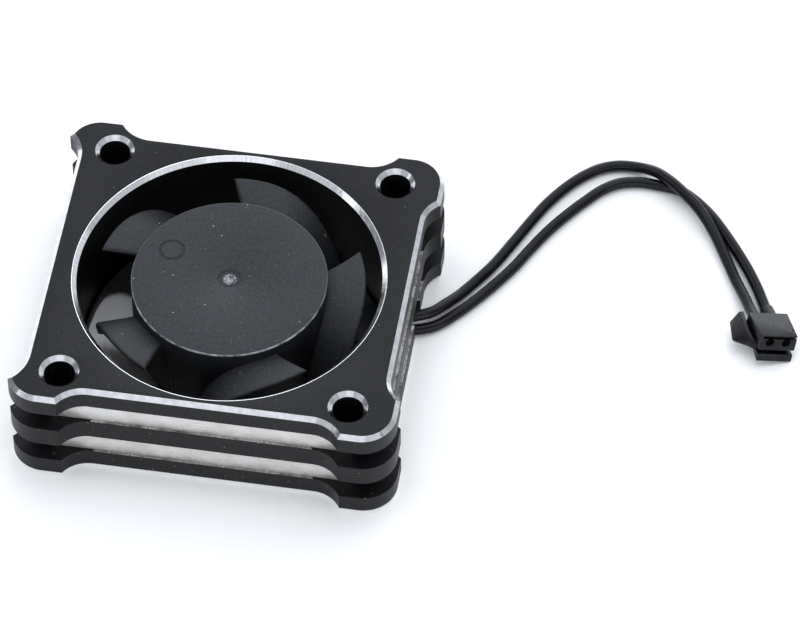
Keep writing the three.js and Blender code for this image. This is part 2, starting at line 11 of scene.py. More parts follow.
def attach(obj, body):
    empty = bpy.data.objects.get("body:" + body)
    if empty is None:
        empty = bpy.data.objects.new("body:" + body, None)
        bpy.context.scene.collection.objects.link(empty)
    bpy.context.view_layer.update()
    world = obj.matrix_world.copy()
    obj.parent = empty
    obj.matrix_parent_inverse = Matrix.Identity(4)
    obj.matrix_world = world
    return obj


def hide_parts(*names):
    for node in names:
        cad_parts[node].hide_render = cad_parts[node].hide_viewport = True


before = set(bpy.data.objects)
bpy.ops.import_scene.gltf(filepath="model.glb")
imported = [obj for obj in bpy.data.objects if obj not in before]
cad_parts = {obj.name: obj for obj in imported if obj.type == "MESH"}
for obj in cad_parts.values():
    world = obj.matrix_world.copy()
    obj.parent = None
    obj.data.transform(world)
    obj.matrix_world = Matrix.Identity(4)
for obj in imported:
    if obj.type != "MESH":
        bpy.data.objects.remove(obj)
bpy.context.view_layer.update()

MM = 0.001

# ---------------------------------------------------------------- camera

CAMERA_AT = (65.85, -299.93, 388.49)
CAMERA_ANGLES = (9.746, 51.386, 0.642)          # azimuth, elevation and roll
SENSOR, LENS = 36, 264.2


def make_camera():
    """A long lens from the front and slightly right, looking down."""
    azimuth, elevation, roll = (math.radians(a) for a in CAMERA_ANGLES)
    forward = Vector((
        -math.sin(azimuth) * math.cos(elevation),
        math.cos(azimuth) * math.cos(elevation),
        -math.sin(elevation),
    ))
    level = forward.cross(Vector((0, 0, 1))).normalized()
    down = forward.cross(level)
    right = level * math.cos(roll) + down * math.sin(roll)
    up = right.cross(forward)
    data = bpy.data.cameras.new("camera")
    data.sensor_width = SENSOR
    data.lens = LENS
    data.clip_start, data.clip_end = 0.05, 5
    camera = bpy.data.objects.new("camera", data)
    turn = Matrix((right, up, -forward)).transposed()
    camera.matrix_world = Matrix.Translation(Vector(CAMERA_AT) * MM) @ turn.to_4x4()
    bpy.context.collection.objects.link(camera)
    bpy.context.scene.camera = camera


make_camera()

# ---------------------------------------------------------------- dimensions, in millimetres

LAYER = 2.0
HEIGHT = 5 * LAYER
EDGE = 0.36
BREAK = 0.035                      # the sharp edges are broken by this much
HOLE = 12.0
HOLE_R = 1.3
BORE_R = 12.72
LIP_R, LIP_TOP = 12.45, 0.3
LOBE_X, LOBE_Y, LOBE_R = 16.1, 15.18, 2.86
WAIST_X, WAIST_Y = 15.0, 13.81
NOTCH_FRONT, NOTCH_RIGHT, NOTCH_LEFT = (9.28, 2.74), (8.4, 2.59), (10.7, 3.34)
GROOVE_X, GROOVE_Y, GROOVE_R = WAIST_X - 0.26, WAIST_Y - 0.26, 1.55

OUTLET_LENGTH, OUTLET_WIDTH, OUTLET_MIDDLE = 6, 2.6, 14     # where the lead passes under the wall

HUB_R, HUB_TOP, HUB_BOTTOM, HUB_FILLET = 8.2, 9.7, 2.6, 0.13
HUB_INSIDE_R, HUB_CEILING, HUB_BREAK = 7.65, 8.82, 0.05
GATE_DISH = [(1.02, 0), (0.97, -0.03), (0.86, -0.14)]       # radius and height from the hub's top
GATE_NUB = [(0.60, -0.15), (0.52, -0.08), (0.40, -0.01), (0.16, -0.04)]
PIN_MARK_AT = (-5.27, 2.24)
PIN_MARK = [
    (0.82, 0.05), (0.86, -0.01), (0.93, -0.075), (1.02, -0.085), (1.10, -0.03), (1.16, 0.05), (0.82, 0.05),
]
SEAM_ANGLES, SEAM_SIZE, SEAM_MIDDLE = (-119.2, -116.1), (0.07, 0.06, 6.6), 6.0
BLADES, BLADE_THICK, BLADE_POWER, BLADE_INSIDE = 5, 0.5, 3.2, 0.3
BLADE_ROOT = {"r": 8.2, "lead": 19.0, "top": 8.42, "drop": 6.2, "sweep": 48}
BLADE_TIP = {"r": 11.35, "lead": 25.2, "top": 8.98, "drop": 6.78, "sweep": 54}

LEAD_ANGLE = 18
STRUTS = [(18, 1.95), (148, 1.45), (265, 1.45)]          # angle, half width
PLATE_R, RIM_R, DISC_R, PLATE_LOW, PLATE_HIGH = 12.6, 12.4, 7.4, 0.3, 0.95
PLATE_BREAK, OUTER_FILLET, INNER_FILLET = 0.04, 1.6, 0.8
LEAD_STRUT_SIZE, LEAD_STRUT_AT = (6.5, 3.9, 1.4), (9.25, 0, 1.0)
CHANNEL_SIZE, CHANNEL_AT = (8.4, 2.8, 2.35), (9.2, 0, 0.175)
COLLAR = (2.6, 3.15, 0.75, 1.6)                             # inner and outer radius, bottom and top
POST_ANGLES, POST_AT_R, POST = (78, 205, 318), 5.9, [(0.45, 0.7), (0.45, 1.7), (0.4, 1.75)]
WIRE_R = 0.475

PLUG_YAW, PLUG_PITCH, PLUG_ROLL = 23.4, 16.3, 16
PLUG_AT = (45.29, 5.86, 1.3)
PLUG_LENGTH, PLUG_LOW, PLUG_TOP = 3.6, 0.2, 1.65
PLUG_FRONT_HALF, PLUG_BACK_HALF = 1.62, 1.76
LIP = [(0, -0.9), (0, -0.18), (1.3, -0.18)]                 # Y and Z, under the mating face
LIP_HALF = 1.57
WEB_SIZE, WEB_AT = (2.54, 0.55, 0.7), (0, 0.925, 0.05)
WING = [                                                    # Y, and the section there in X and Z
    (4.1, [(-1.62, -0.1), (-1.62, 0.3), (-2.0, 1.4), (-2.4, 1.36), (-3.0, 0.25), (-2.75, 0)]),
    (1.9, [(-1.58, -0.2), (-1.58, 0.1), (-1.98, 0.92), (-2.35, 0.86), (-3.35, -0.1), (-3.1, -0.3)]),
    (1.2, [(-1.5, -0.2), (-1.5, 0.05), (-1.85, 0.7), (-2.05, 0.6), (-2.35, 0.05), (-2.2, -0.22)]),
    (0.5, [(-1.5, -0.2), (-1.5, 0.1), (-1.62, 0.5), (-1.70, 0.45), (-1.78, 0.1), (-1.72, -0.1)]),
]
LID_GAP_SIZE, LID_GAP_AT = (3.05, 2.0, 0.24), (0.12, 0.1, PLUG_TOP - 0.21)
CATCH_SIZE, CATCH_AT = (0.5, 0.16, 0.4), (1.6, 0.95, PLUG_TOP)
SOCKET_PITCH, SOCKET_Z, SOCKET_DEPTH, REAR_SHIFT, REAR_SIZE = 1.45, 0.95, 0.9, -0.26, 0.98
MOUTH = [(-1.0, 0.34), (-0.08, 0.34), (0.0, 0.40), (1.0, 0.9)]     # place along the plug, and radius
SLEEVE = [(0.3, 0.49), (-1.41, 0.49), (-1.45, 0.53), (-1.45, 0.56), (-1.39, 0.6), (0.3, 0.6), (0.3, 0.49)]

# ---------------------------------------------------------------- lead

LEAD_1 = [
    (5.22, 2.38, 0.84), (6.93, 2.94, 0.8), (9.31, 3.71, 0.76), (11.61, 4.4, 0.82), (13.6, 4.75, 1.24),
    (14.9, 4.98, 1.44), (16.1, 5.75, 1.25), (17.05, 7.1, 0.83), (18.05, 8.55, 0.52), (19.45, 10.65, 0.5),
    (20.41, 12.25, 0.5), (21.71, 15.0, 0.5), (22.95, 17.7, 0.5), (23.89, 19.59, 0.5), (25.31, 21.74, 0.5),
    (26.6, 23.2, 0.5), (27.9, 24.22, 0.5), (29.41, 24.79, 0.5), (31.2, 24.72, 0.66), (32.72, 23.98, 1.22),
    (34.15, 22.88, 1.52), (35.52, 21.66, 1.54), (36.98, 20.3, 1.28), (38.38, 18.55, 0.8), (39.95, 15.7, 0.55),
    (40.99, 13.62, 0.55), (41.56, 12.56, 0.65), (42.08, 11.5, 0.82), (42.6, 10.3, 1.04), (43.05, 9.3, 1.36),
    (43.35, 8.62, 1.56),
]
LEAD_2 = [
    (5.62, 1.14, 0.84), (7.33, 1.7, 0.8), (9.71, 2.47, 0.72), (11.98, 3.26, 0.6), (13.6, 3.85, 0.52),
    (15.1, 4.28, 0.5), (16.45, 4.86, 0.5), (17.98, 6.36, 0.5), (19.8, 8.66, 0.5), (21.2, 10.72, 0.5),
    (22.2, 12.37, 0.5), (23.05, 14.06, 0.5), (24.36, 16.51, 0.5), (25.76, 18.64, 0.5), (27.1, 20.4, 0.5),
    (28.4, 21.9, 0.5), (29.8, 22.85, 0.5), (31.53, 23.22, 0.5), (33.19, 23.12, 0.5), (34.8, 22.88, 0.5),
    (36.13, 22.13, 0.5), (37.93, 20.5, 0.5), (40.04, 17.75, 0.5), (41.69, 15.25, 0.5), (42.4, 14.0, 0.5),
    (43.0, 12.85, 0.5), (43.42, 11.9, 0.52), (43.9, 10.8, 0.64), (44.35, 9.8, 0.93), (44.67, 9.07, 1.17),
]


def plug_matrix():
    turn = (
        Matrix.Rotation(math.radians(PLUG_YAW), 4, "Z")
        @ Matrix.Rotation(math.radians(-PLUG_PITCH), 4, "X")
        @ Matrix.Rotation(math.radians(PLUG_ROLL), 4, "Y")
    )
    return Matrix.Translation(PLUG_AT) @ turn


SPAN_STEPS = 10


def smooth_route(points):
    """A centripetal Catmull-Rom curve through the points, as the CAD tube follows."""
    p = [Vector(q) for q in points]
    p = [2 * p[0] - p[1]] + p + [2 * p[-1] - p[-2]]
    line = []
    for p0, p1, p2, p3 in zip(p, p[1:], p[2:], p[3:]):
        d0, d1, d2 = ((b - a).length ** 0.5 for a, b in ((p0, p1), (p1, p2), (p2, p3)))
        m1 = ((p1 - p0) / d0 - (p2 - p0) / (d0 + d1) + (p2 - p1) / d1) * d1
        m2 = ((p2 - p1) / d1 - (p3 - p1) / (d1 + d2) + (p3 - p2) / d2) * d1
        for k in range(SPAN_STEPS):
            t = k / SPAN_STEPS
            h1, h2 = 2 * t**3 - 3 * t**2 + 1, t**3 - 2 * t**2 + t
            h3, h4 = -2 * t**3 + 3 * t**2, t**3 - t**2
            line.append(p1 * h1 + m1 * h2 + p2 * h3 + m2 * h4)
    line.append(p[-2])
    return line


def make_wire(name, points):
    """One insulated wire, from the board inside the case into its hole at the back of the plug."""
    line = smooth_route(points)
    curve = bpy.data.curves.new(name, "CURVE")
    curve.dimensions = "3D"
    curve.bevel_depth = WIRE_R * MM
    curve.bevel_resolution = 7
    curve.use_fill_caps = True
    spline = curve.splines.new("POLY")
    spline.points.add(len(line) - 1)
    for point, at in zip(spline.points, line):
        point.co = (*(at * MM), 1)
    spline.use_smooth = True
    wire = bpy.data.objects.new(name, curve)
    bpy.context.collection.objects.link(wire)
    return wire


wires = [make_wire("wire_back", LEAD_1), make_wire("wire_front", LEAD_2)]

# ---------------------------------------------------------------- materials


class Nodes:
    """A material's node tree, with short calls for what the materials share."""

    def __init__(self, name, color, roughness, metallic=0.0, specular=0.5):
        self.material = bpy.data.materials.new(name)
        self.material.use_nodes = True
        self.tree = self.material.node_tree
        self.shader = self.tree.nodes["Principled BSDF"]
        self.set(self.shader, "Base Color", (*color, 1))
        self.set(self.shader, "Roughness", roughness)
        self.set(self.shader, "Metallic", metallic)
        self.set(self.shader, "Specular IOR Level", specular)
        where = self.tree.nodes.new("ShaderNodeTexCoord")
        scale = self.node("ShaderNodeVectorMath", "MULTIPLY", where.outputs["Object"], (1000, 1000, 1000))
        self.place = scale.outputs[0]
        self.bumps = None

    def node(self, kind, operation=None, *inputs):
        made = self.tree.nodes.new(kind)
        if operation is not None:
            made.operation = operation
        for socket, value in zip(made.inputs, inputs):
            self.put(socket, value)
        return made

    def put(self, socket, value):
        if isinstance(value, bpy.types.NodeSocket):
            self.tree.links.new(value, socket)
        else:
            socket.default_value = value

    def set(self, node, name, value):
        self.put(node.inputs[name], value)

    def math(self, operation, a, b=0.0, c=0.0):
        return self.node("ShaderNodeMath", operation, a, b, c).outputs[0]

    def parts(self):
        """The place's x, y and z, in millimetres."""
        return self.node("ShaderNodeSeparateXYZ", None, self.place).outputs

    def noise(self, scale, detail=2.0, at=None, rough=0.5):
        made = self.tree.nodes.new("ShaderNodeTexNoise")
        self.set(made, "Vector", at or self.place)
        self.set(made, "Scale", scale)
        self.set(made, "Detail", detail)
        self.set(made, "Roughness", rough)
        return made.outputs["Fac"]

    def spread(self, value, low, high, to_low=0.0, to_high=1.0):
        """Maps low..high to to_low..to_high, and clamps."""
        made = self.tree.nodes.new("ShaderNodeMapRange")
        for socket, v in zip(made.inputs, (value, low, high, to_low, to_high)):
            self.put(socket, v)
        return made.outputs[0]

    def mix(self, share, a, b):
        made = self.tree.nodes.new("ShaderNodeMix")
        made.data_type = "RGBA"
        colours = [s for s in made.inputs if s.type == "RGBA"]
        self.put(made.inputs["Factor"], share)
        self.put(colours[0], a)
        self.put(colours[1], b)
        return next(s for s in made.outputs if s.type == "RGBA")

    def bump(self, height, distance, strength=1.0):
        made = self.tree.nodes.new("ShaderNodeBump")
        self.set(made, "Height", height)
        self.set(made, "Distance", distance * MM)
        self.set(made, "Strength", strength)
        if self.bumps:
            self.put(made.inputs["Normal"], self.bumps)
        self.bumps = made.outputs["Normal"]
        self.put(self.shader.inputs["Normal"], self.bumps)

    def specks(self, scale, reach, share):
        """Small separate dots: 1 inside a dot, 0 outside; share is how many cells hold one."""
        made = self.tree.nodes.new("ShaderNodeTexVoronoi")
        self.set(made, "Vector", self.place)
        self.set(made, "Scale", scale)
        near = self.spread(made.outputs["Distance"], reach, reach * 0.5)
        chosen = self.node("ShaderNodeSeparateColor", None, made.outputs["Color"]).outputs[0]
        return self.math("MULTIPLY", near, self.math("LESS_THAN", chosen, share))


def rgb(*value):
    return (*value, 1.0)


def black_anodise(name="black_anodise", shade=1.0, specular=0.225, dust=1.0):
    n = Nodes(name, (0.002, 0.002, 0.0026), 0.42, 0.0, specular)
    cloud = n.noise(0.35, 4)
    grain = n.noise(9, 2)
    low, high = (0.0016, 0.0016, 0.0021), (0.0027, 0.0027, 0.0034)
    # shade below 1 darkens both tones; the bore's copy uses this for painted shade.
    dark = n.mix(n.spread(cloud, 0.35, 0.65), rgb(*(c * shade for c in low)), rgb(*(c * shade for c in high)))
    sparkle = n.math("MULTIPLY", n.spread(n.noise(6, 3, rough=0.7), 0.46, 0.72), dust)
    dark = n.mix(sparkle, dark, rgb(0.0135, 0.0138, 0.0160))
    spots = n.math("MULTIPLY", n.specks(1.15, 0.085, 0.24 * dust), 0.6)
    lint = n.math("MULTIPLY", n.specks(3.1, 0.16, 0.12 * dust), 0.4)
    colour = n.mix(n.math("MAXIMUM", spots, lint), dark, rgb(0.12, 0.123, 0.13))
    below = n.spread(n.parts()[2], HEIGHT - 1.0, HEIGHT - 1.3)
    swarf = n.math("MULTIPLY", n.specks(2.1, 0.13, 0.17 * dust), below)
    colour = n.mix(n.math("MULTIPLY", swarf, 0.8), colour, rgb(0.30, 0.25, 0.15))
    n.set(n.shader, "Base Color", colour)
    n.set(n.shader, "Roughness", n.spread(grain, 0.3, 0.7, 0.36, 0.52))
    n.bump(grain, 0.014, 0.7)
    n.bump(n.noise(30, 2), 0.002, 0.6)
    return n.material


def worn_ledge():
    """The narrow ledges beside the groove floors: the black is worn through and holds pale dust."""
    n = Nodes("worn_ledge", (0.30, 0.29, 0.27), 0.45, 0.4, 0.4)
    worn = n.spread(n.noise(4.5, 4, rough=0.7), 0.28, 0.60)
    thin = n.spread(n.noise(0.7, 3), 0.34, 0.60, 0.25, 1.0)
    tone = n.mix(n.math("MULTIPLY", worn, thin), rgb(0.022, 0.022, 0.023), rgb(0.56, 0.55, 0.53))
    tone = n.mix(n.math("MULTIPLY", n.specks(3.0, 0.16, 0.25), 0.9), tone, rgb(0.50, 0.40, 0.18))
    n.set(n.shader, "Base Color", tone)
    n.set(n.shader, "Roughness", n.spread(worn, 0.0, 1.0, 0.38, 0.50))
    n.bump(worn, 0.01, 0.5)
    return n.material


def polar_place(n):
    """The angle about the bore's axis and the height, stretched so that noise makes radial marks."""
    x, y, z = n.parts()
    angle = n.math("ARCTAN2", y, x)
    around, up = n.math("MULTIPLY", angle, 60.0), n.math("MULTIPLY", z, 0.4)
    return n.node("ShaderNodeCombineXYZ", None, around, up, 0.0).outputs[0]


def bright_edge(name="bright_edge", turned=False):
    """Bare aluminium cut by a tool: nearly a mirror, with faint marks. A turned edge has them across it."""
    n = Nodes(name, (0.86, 0.865, 0.88), 0.16, 1.0)
    if turned:
        marks = n.noise(1.0, 3, polar_place(n))
        low, high = (0.76, 0.765, 0.78), (0.93, 0.93, 0.94)
    else:
        marks = n.noise(1.6, 3)
        low, high = (0.62, 0.63, 0.65), (0.80, 0.80, 0.81)
    tone = n.mix(n.spread(marks, 0.3, 0.7), rgb(*low), rgb(*high))
    n.set(n.shader, "Base Color", tone)
    n.set(n.shader, "Roughness", n.spread(n.noise(2.2, 3), 0.3, 0.7, 0.10, 0.22))
    n.bump(marks, 0.004, 0.5)
    return n.material


def bare_groove():
    """The floors of the grooves: bare metal sawn along their length, a little warm."""
    n = Nodes("bare_groove", (0.78, 0.76, 0.72), 0.38, 0.55, 0.5)
    x, y, z = n.parts()
    along = n.math("ADD", n.math("ABSOLUTE", x), n.math("ABSOLUTE", y))
    long, fine = n.math("MULTIPLY", along, 0.25), n.math("MULTIPLY", z, 9.0)
    lines = n.noise(1.6, 3, n.node("ShaderNodeCombineXYZ", None, long, fine, 0.0).outputs[0])
    stain = n.spread(n.noise(0.55, 3), 0.42, 0.7)
    tone = n.mix(n.spread(lines, 0.3, 0.7), rgb(0.56, 0.55, 0.54), rgb(0.70, 0.69, 0.675))
    tone = n.mix(n.math("MULTIPLY", stain, 0.35), tone, rgb(0.43, 0.39, 0.31))
    # Darker in patches towards the bottom of each groove floor.
    low = n.spread(n.math("MODULO", z, 2 * LAYER), LAYER + 1.1, LAYER + 0.05)
    darker_toward_bottom = n.math("MULTIPLY", low, n.spread(n.noise(1.3, 4), 0.30, 0.62, 0.25, 0.75))
    tone = n.mix(darker_toward_bottom, tone, rgb(0.235, 0.225, 0.205))
    tone = n.mix(n.math("MULTIPLY", n.specks(2.4, 0.14, 0.16), 0.8), tone, rgb(0.36, 0.24, 0.07))
    tone = n.mix(n.math("MULTIPLY", n.specks(1.3, 0.09, 0.20), 0.8), tone, rgb(0.10, 0.075, 0.04))
    n.set(n.shader, "Base Color", tone)
    n.set(n.shader, "Roughness", n.spread(lines, 0.3, 0.7, 0.30, 0.46))
    n.bump(lines, 0.006, 0.5)
    return n.material


DUST = rgb(0.20, 0.21, 0.22)


def moulded(name, dark, light, roughness, grain=7.0, depth=0.008, dust=0.10, gloss=0.45):
    """Fine-grained moulded plastic with a little dust on it."""
    n = Nodes(name, dark, roughness, 0.0, gloss)
    fine = n.noise(grain, 3)
    cloud = n.spread(n.noise(0.6, 3), 0.35, 0.65)
    tone = n.mix(cloud, rgb(*dark), rgb(*light))
    tone = n.mix(n.math("MULTIPLY", n.specks(1.7, 0.075, dust), 0.7), tone, DUST)
    tone = n.mix(n.math("MULTIPLY", n.specks(4.3, 0.13, dust * 0.8), 0.35), tone, DUST)
    n.set(n.shader, "Base Color", tone)
    n.set(n.shader, "Roughness", n.spread(fine, 0.3, 0.7, roughness - 0.05, roughness + 0.06))
    n.bump(fine, depth, 0.7)
    return n.material


def rotor_moulding():
    """Spark-eroded black plastic: a fine mottle, and dust of several sizes lying on it."""
    n = Nodes("rotor_plastic", (0.0175, 0.0185, 0.021), 0.56, 0.0, 0.30)
    mottle = n.noise(4.2, 4, rough=0.7)
    tone = n.mix(n.spread(mottle, 0.36, 0.64), rgb(0.0110, 0.0120, 0.0145), rgb(0.0268, 0.0284, 0.0316))
    pale = rgb(0.26, 0.27, 0.28)
    tone = n.mix(n.math("MULTIPLY", n.specks(4.8, 0.20, 0.22), 0.22), tone, pale)
    tone = n.mix(n.math("MULTIPLY", n.specks(2.3, 0.13, 0.24), 0.40), tone, pale)
    tone = n.mix(n.math("MULTIPLY", n.specks(1.25, 0.085, 0.26), 0.95), tone, rgb(0.45, 0.45, 0.43))
    n.set(n.shader, "Base Color", tone)
    n.set(n.shader, "Roughness", n.spread(mottle, 0.3, 0.7, 0.50, 0.62))
    n.bump(mottle, 0.028, 0.8)
    n.bump(n.noise(14, 2), 0.009, 0.8)
    return n.material


def rim_painted_highlight():
    """The rotor's upper edge, painted paler than the plastic, with a painted highlight strongest on the front
    side.
    """
    n = Nodes("rim_painted_highlight", (0.06, 0.062, 0.066), 0.36, 0.0, 0.5)
    # Painted highlight: strongest towards the front (negative Y), broken up by noise.
    side = n.spread(n.parts()[1], 0.5, -4.5, 0.10, 1.0)
    highlight_share = n.math("MULTIPLY", n.spread(n.noise(1.4, 4), 0.36, 0.62), side)
    n.set(n.shader, "Base Color", n.mix(highlight_share, rgb(0.035, 0.037, 0.040), rgb(0.28, 0.29, 0.31)))
    n.set(n.shader, "Roughness", n.spread(highlight_share, 0.0, 1.0, 0.45, 0.30))
    n.bump(n.noise(6, 3), 0.01, 0.5)
    return n.material


def gate_spot():
    """The broken-off gate in the middle of the hub."""
    n = Nodes("gate_spot", (0.08, 0.082, 0.085), 0.22, 0.35, 0.8)
    rough = n.noise(4.5, 4)
    tone = n.mix(n.spread(rough, 0.4, 0.62), rgb(0.03, 0.03, 0.032), rgb(0.30, 0.30, 0.31))
    n.set(n.shader, "Base Color", tone)
    n.bump(rough, 0.08, 0.9)
    return n.material


def wire_skin():
    """Black PVC, slightly glossy, with faint drawing lines and handling marks."""
    n = Nodes("wire_pvc", (0.004, 0.0042, 0.005), 0.30, 0.0, 0.195)
    worn = n.spread(n.noise(0.45, 3), 0.36, 0.66)
    tone = n.mix(worn, rgb(0.0008, 0.0009, 0.0012), rgb(0.0050, 0.0054, 0.0070))
    scuff = n.math("MULTIPLY", n.specks(2.4, 0.12, 0.14), 0.5)
    n.set(n.shader, "Base Color", n.mix(scuff, tone, rgb(0.10, 0.104, 0.11)))
    n.set(n.shader, "Roughness", n.spread(n.noise(2.2, 3), 0.3, 0.7, 0.20, 0.32))
    n.bump(n.noise(5.0, 3), 0.010, 0.5)
    return n.material


def plug_nylon():
    """Black nylon, part glossy and part scuffed."""
    n = Nodes("plug_nylon", (0.007, 0.0074, 0.009), 0.33, 0.0, 0.205)
    worn = n.spread(n.noise(1.8, 4), 0.42, 0.7)
    tone = n.mix(worn, rgb(0.0020, 0.0021, 0.0028), rgb(0.0075, 0.0078, 0.0095))
    crumbs = n.math("MULTIPLY", n.specks(2.2, 0.13, 0.12), 0.8)
    n.set(n.shader, "Base Color", n.mix(crumbs, tone, rgb(0.22, 0.22, 0.22)))
    n.set(n.shader, "Roughness", n.spread(n.noise(4.0, 3), 0.3, 0.7, 0.20, 0.44))
    n.bump(n.noise(3.2, 3), 0.03, 0.6)
    return n.material


def metal(name, dark, light, roughness, grain):
    """Drawn, ground or turned metal, with its tone and gloss broken up by the marks of its making."""
    n = Nodes(name, dark, roughness, 1.0)
    marks = n.noise(grain, 4)
    n.set(n.shader, "Base Color", n.mix(n.spread(marks, 0.3, 0.7), rgb(*dark), rgb(*light)))
    n.set(n.shader, "Roughness", n.spread(marks, 0.3, 0.7, roughness * 0.8, roughness * 1.25))
    n.bump(marks, 0.003, 0.5)
    return n.material


def banded(name, dark, light, roughness, pitch, metallic, axis=2):
    """Something built of layers or turns: laminations along Z, or the turns of a coil."""
    n = Nodes(name, dark, roughness, metallic)
    across = n.math("MULTIPLY", n.parts()[axis], 2 * math.pi / pitch)
    band = n.spread(n.math("SINE", across), -1.0, 1.0)
    spots = n.noise(2.0, 3)
    tone = n.mix(n.math("MULTIPLY", band, n.spread(spots, 0.2, 0.8, 0.6, 1.0)), rgb(*dark), rgb(*light))
    n.set(n.shader, "Base Color", tone)
    n.set(n.shader, "Roughness", n.spread(spots, 0.3, 0.7, roughness * 0.85, roughness * 1.2))
    n.bump(band, 0.02, 0.8)
    return n.material


anodise = black_anodise()
# A darker copy of the anodise for the bore's walls, with less sheen and fewer specks: painted shade.
bore_painted_shade = black_anodise("bore_anodise_painted_shade", 0.5, 0.10, 0.2)
ledge = worn_ledge()
edge_milled = bright_edge()
edge_turned = bright_edge("bright_edge_turned", True)
groove_bare = bare_groove()
rotor_plastic = rotor_moulding()
base_plastic = moulded("base_moulding", (0.0045, 0.0047, 0.0055), (0.0075, 0.0078, 0.0088), 0.50, gloss=0.35)
gate = gate_spot()
# The rim's pale tone and its front-side highlight are painted light.
rim = rim_painted_highlight()
# A darker copy of the rotor plastic for the hub's side wall: painted shade.
rotor_wall_painted_shade = moulded("rotor_wall_painted_shade", (0.0050, 0.0055, 0.0065), (0.0090, 0.0095, 0.0110), 0.50, gloss=0.30)
pvc = wire_skin()
nylon = plug_nylon()

# ---------------------------------------------------------------- mesh helpers


def polar(r, degrees, centre=(0.0, 0.0)):
    a = math.radians(degrees)
    return (centre[0] + r * math.cos(a), centre[1] + r * math.sin(a))


def arc(centre, r, start, end, steps):
    return [polar(r, start + (end - start) * i / steps, centre) for i in range(steps + 1)]


class Build:
    """Points and faces in millimetres, each face with its material's index."""

    def __init__(self):
        self.points, self.faces, self.kinds = [], [], []

    def add(self, points):
        start = len(self.points)
        self.points += [tuple(p) for p in points]
        return list(range(start, len(self.points)))

    def face(self, ids, kind=0):
        self.faces.append(tuple(ids))
        self.kinds.append(kind)

    def strip(self, low, high, kind=0):
        """Quads between two rings of points; kind is an index or a function of the quad's lower edge."""
        n = len(low)
        for i in range(n):
            j = (i + 1) % n
            k = kind(self.points[low[i]], self.points[low[j]]) if callable(kind) else kind
            self.face((low[i], low[j], high[j], high[i]), k)

    def rings(self, levels, kinds):
        """Rings of points, each joined to the next; returns the ids of each ring."""
        rows = [self.add(level) for level in levels]
        for low, high, kind in zip(rows, rows[1:], kinds):
            self.strip(low, high, kind)
        return rows

    def turned(self, profile, kinds, segments, centre=(0.0, 0.0)):
        """A surface of revolution through [radius, height] pairs."""
        circle = [360 * i / segments for i in range(segments)]
        levels = [[(*polar(r, a, centre), z) for a in circle] for r, z in profile]
        return self.rings(levels, kinds)

    def cap(self, loops, up, kind=0):
        """A flat face with holes: the outline's point ids first, then each hole's."""
        flat = [i for loop in loops for i in loop]
        outline = [[Vector(self.points[i]) for i in loop] for loop in loops]
        for tri in tessellate_polygon(outline):
            ids = [flat[i] for i in tri]
            a, b, c = (Vector(self.points[i]) for i in ids)
            if ((b - a).cross(c - a).z > 0) != up:
                ids.reverse()
            self.face(ids, kind)

    def object(self, name, materials, sharp=28):
        mesh = bpy.data.meshes.new(name)
        mesh.from_pydata(self.points, [], self.faces)
        made = linked(mesh, materials)
        mesh.polygons.foreach_set("material_index", self.kinds)
        tidy(made, sharp, True)
        return made


def linked(mesh, materials):
    """A new object in the scene with this mesh and these materials."""
    for m in materials:
        mesh.materials.append(m)
    made = bpy.data.objects.new(mesh.name, mesh)
    bpy.context.collection.objects.link(made)
    return made


def tidy(obj, sharp, merge=False):
    """Turns every face out and sets which edges are sharp, after merging doubled points."""
    mesh = obj.data
    bm = bmesh.new()
    bm.from_mesh(mesh)
    if merge:
        bmesh.ops.remove_doubles(bm, verts=bm.verts, dist=1e-4)
    bmesh.ops.recalc_face_normals(bm, faces=bm.faces)
    bm.to_mesh(mesh)
    bm.free()
    mesh.polygons.foreach_set("use_smooth", [True] * len(mesh.polygons))
    mesh.set_sharp_from_angle(angle=math.radians(sharp))


def combine(obj, others, operation, sharp):
    """Joins the others to obj, or cuts them away, and removes them."""
    for other in others:
        modifier = obj.modifiers.new("combine", "BOOLEAN")
        modifier.operation = operation
        modifier.solver = "MANIFOLD"
        modifier.object = other
        bpy.context.view_layer.update()
        mesh = bpy.data.meshes.new_from_object(obj.evaluated_get(bpy.context.evaluated_depsgraph_get()))
        obj.modifiers.clear()
        obj.data = mesh
        bpy.data.objects.remove(other)
    tidy(obj, sharp)
    return obj


def bevelled(bm, name, edge, materials):
    """Rounds the edges of a bmesh, if edge isn't zero, and makes an object of it."""
    if edge:
        bmesh.ops.bevel(bm, geom=bm.edges, offset=edge, segments=2, affect="EDGES", profile=0.5)
    mesh = bpy.data.meshes.new(name)
    bm.to_mesh(mesh)
    bm.free()
    return linked(mesh, materials)


def bevelled_box(name, size, at, edge, materials):
    """A box with rounded edges, in millimetres; at is the middle of the box."""
    bm = bmesh.new()
    bmesh.ops.create_cube(bm, size=1)
    bmesh.ops.scale(bm, vec=size, verts=bm.verts)
    bmesh.ops.translate(bm, vec=at, verts=bm.verts)
    return bevelled(bm, name, edge, materials)


def bevelled_loft(name, loops, edge, materials):
    """Matching rings of points joined one to the next and closed at both ends, with rounded edges."""
    bm = bmesh.new()
    rows = [[bm.verts.new(p) for p in loop] for loop in loops]
    for low, high in zip(rows, rows[1:]):
        for i in range(len(low)):
            j = (i + 1) % len(low)
            bm.faces.new((low[i], low[j], high[j], high[i]))
    bm.faces.new(rows[0])
    bm.faces.new(list(reversed(rows[-1])))
    bmesh.ops.recalc_face_normals(bm, faces=bm.faces)
    return bevelled(bm, name, edge, materials)


def apply_matrix(obj, matrix):
    obj.data.transform(matrix)
    return obj


def turn_about_z(obj, degrees):
    return apply_matrix(obj, Matrix.Rotation(math.radians(degrees), 4, "Z"))


# ---------------------------------------------------------------- case

LOBE_STEPS, NOTCH_STEPS, BORE_STEPS, HOLE_STEPS = 24, 14, 240, 64
BLACK, MILLED, TURNED, BARE, BORE, LEDGE = range(6)


def notch(at, r, waist, reach, inset):
    """The concave arc from the end of a waist out to where it breaks the lobe."""
    centre_v = waist + r
    end = math.degrees(math.asin((reach - inset - centre_v) / (r + inset)))
    return arc((at, centre_v), r + inset, -90, end, NOTCH_STEPS)


